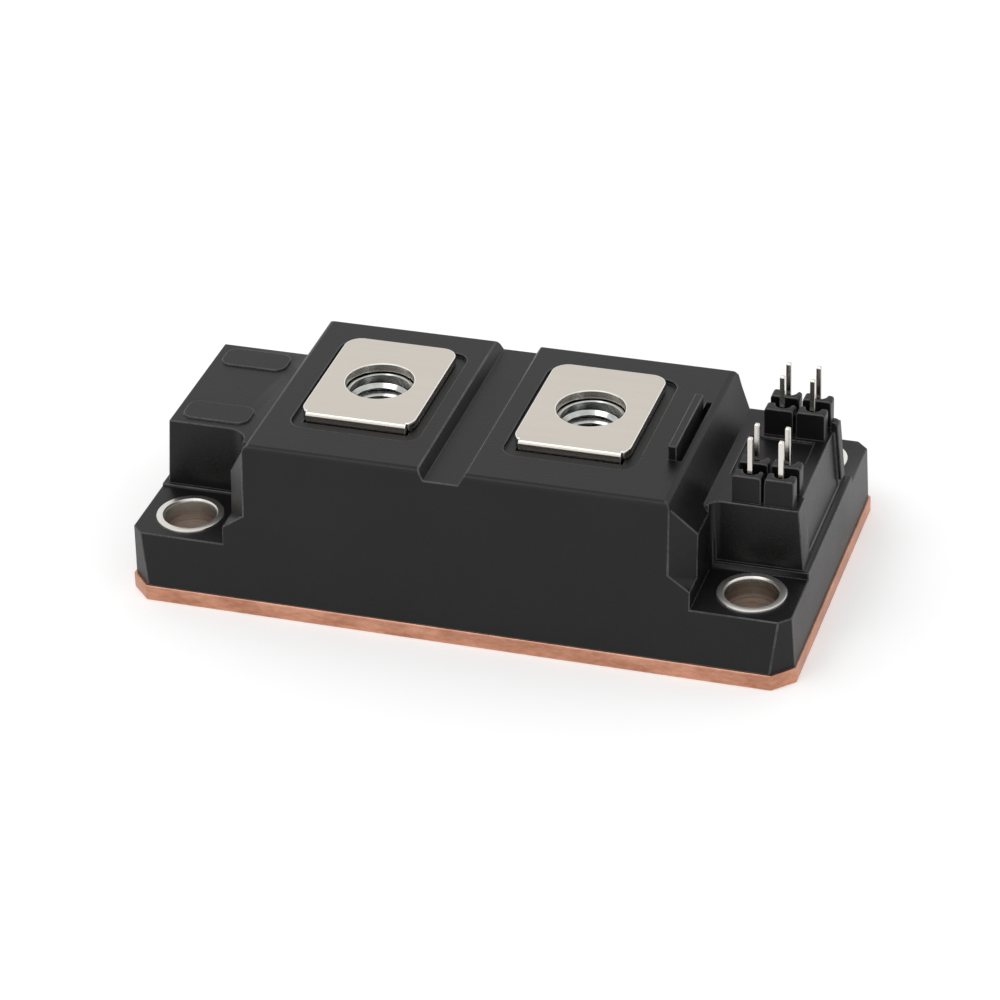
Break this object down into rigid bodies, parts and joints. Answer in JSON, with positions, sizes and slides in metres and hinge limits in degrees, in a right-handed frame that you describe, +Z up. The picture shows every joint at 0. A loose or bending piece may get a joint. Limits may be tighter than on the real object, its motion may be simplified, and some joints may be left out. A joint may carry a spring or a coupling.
{
  "type": "power transistor module",
  "caption": "Flat insulated-gate transistor module with a copper base, black moulded housing, two screw terminals, upright control pins and a sleeve in each corner.",
  "frame": {"origin": "middle of the base plate's underside", "axes": "+X along the module towards the control pins, +Y towards the low shelf at the back, +Z up out of the terminals"},
  "size_m": [0.11, 0.0586, 0.0348],
  "materials": {
    "housing_plastic": "fine moulded grain, satin",
    "copper": "bare rolled copper, satin",
    "terminal_nickel": "satin nickel plating on copper sheet",
    "nut_steel": "bright zinc plated steel",
    "sleeve_steel": "turned and plated steel",
    "pin_nickel": "bright tin plating",
    "ceramic": "matt sintered alumina",
    "silicon": "polished metallised silicon",
    "solder": "dull solder",
    "bond_wire": "bright drawn aluminium",
    "gel": "clear soft gel",
    "adhesive": "matt cured silicone"
  },
  "bodies": {
    "root": {"base_plate": "copper", "housing": "housing_plastic", "adhesive_bead": "adhesive", "silicone_gel": "gel", "left_terminal": "terminal_nickel", "right_terminal": "terminal_nickel", "left_terminal_nut": "nut_steel", "right_terminal_nut": "nut_steel", "sleeve_front_left": "sleeve_steel", "sleeve_front_right": "sleeve_steel", "sleeve_back_left": "sleeve_steel", "sleeve_back_right": "sleeve_steel", "control_pin_1": "pin_nickel", "control_pin_2": "pin_nickel", "control_pin_3": "pin_nickel", "control_pin_4": "pin_nickel", "control_pin_5": "pin_nickel", "control_pin_6": "pin_nickel", "control_pin_7": "pin_nickel", "control_pin_8": "pin_nickel", "left_substrate_solder": "solder", "left_substrate_backing": "copper", "left_ceramic": "ceramic", "left_tracks": "copper", "left_chip_solder": "solder", "left_igbt_chips": "silicon", "left_diode_chips": "silicon", "left_bond_wires": "bond_wire", "right_substrate_solder": "solder", "right_substrate_backing": "copper", "right_ceramic": "ceramic", "right_tracks": "copper", "right_chip_solder": "solder", "right_igbt_chips": "silicon", "right_diode_chips": "silicon", "right_bond_wires": "bond_wire", "link_wires": "bond_wire", "control_solder": "solder", "control_backing": "copper", "control_ceramic": "ceramic", "control_pads": "copper", "control_wires": "bond_wire"}
  },
  "joints": []
}
